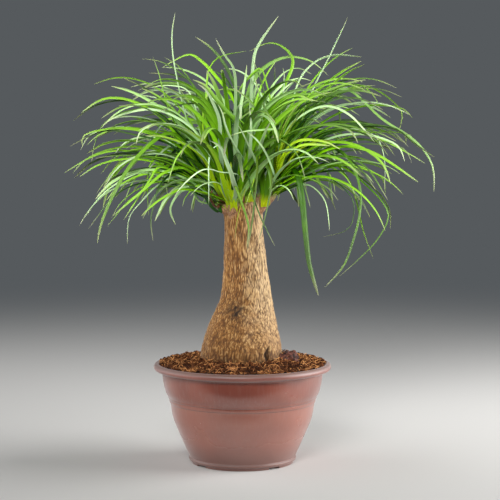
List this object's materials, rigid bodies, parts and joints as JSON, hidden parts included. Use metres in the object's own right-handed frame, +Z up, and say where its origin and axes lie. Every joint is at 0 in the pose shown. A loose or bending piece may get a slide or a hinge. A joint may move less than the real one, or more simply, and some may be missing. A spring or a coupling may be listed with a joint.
{
  "type": "potted ponytail palm",
  "caption": "Ponytail palm with a swollen corky trunk and a wide crown of long narrow arching leaves, standing in soil in a round flared planter bowl.",
  "frame": {"origin": "centre of the pot's foot ring, on the surface that the pot stands on", "axes": "+Z up, -Y towards the side that the picture shows, +X to the right as seen there"},
  "size_m": [0.523, 0.4649, 0.631],
  "materials": {
    "pot_plastic": "satin moulded plastic, dusty terracotta",
    "potting_soil": "matt, crumbly coconut fibre potting mix",
    "bark": "matt corky bark with fine upright fissures",
    "leaf": "satin leaf, bright green"
  },
  "bodies": {
    "root": {"pot": "pot_plastic", "soil": "potting_soil", "trunk": "bark", "head_left": "leaf", "head_front": "leaf", "head_right": "leaf", "head_back": "leaf"}
  },
  "joints": []
}
